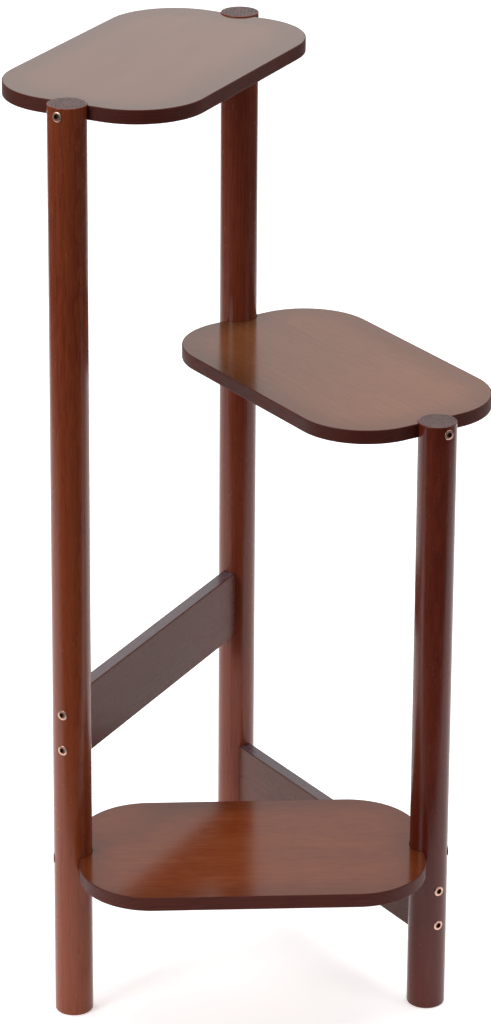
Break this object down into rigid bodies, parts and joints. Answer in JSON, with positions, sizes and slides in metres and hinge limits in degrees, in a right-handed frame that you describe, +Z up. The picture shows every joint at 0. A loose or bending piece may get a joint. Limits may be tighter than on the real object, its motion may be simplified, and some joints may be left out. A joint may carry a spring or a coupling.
{
  "type": "tiered plant stand",
  "caption": "Corner plant stand of stained wood: round legs at the corners of a triangle, round-cornered shelves at stepped heights, flat rails, screwed together.",
  "frame": {"origin": "on the floor, in the middle of the stand's footprint", "axes": "+Z up along the legs, +X to the right with the low shelf in front, -Y towards whoever faces the stand"},
  "size_m": [0.4006, 0.363, 0.8],
  "materials": {
    "stained_wood_leg": "stained red-brown, satin lacquer",
    "stained_wood_board": "stained brown, satin lacquer",
    "bronzed_steel": "bronze plated, satin"
  },
  "bodies": {
    "root": {"back_leg": "stained_wood_leg", "bottom_shelf": "stained_wood_board", "bottom_shelf_screws": "bronzed_steel", "left_leg": "stained_wood_leg", "left_rail": "stained_wood_board", "left_rail_lower_screws": "bronzed_steel", "left_rail_upper_screws": "bronzed_steel", "middle_shelf": "stained_wood_board", "middle_shelf_screws": "bronzed_steel", "right_leg": "stained_wood_leg", "right_rail": "stained_wood_board", "right_rail_lower_screws": "bronzed_steel", "right_rail_upper_screws": "bronzed_steel", "top_shelf": "stained_wood_board", "top_shelf_screws": "bronzed_steel"}
  },
  "joints": []
}
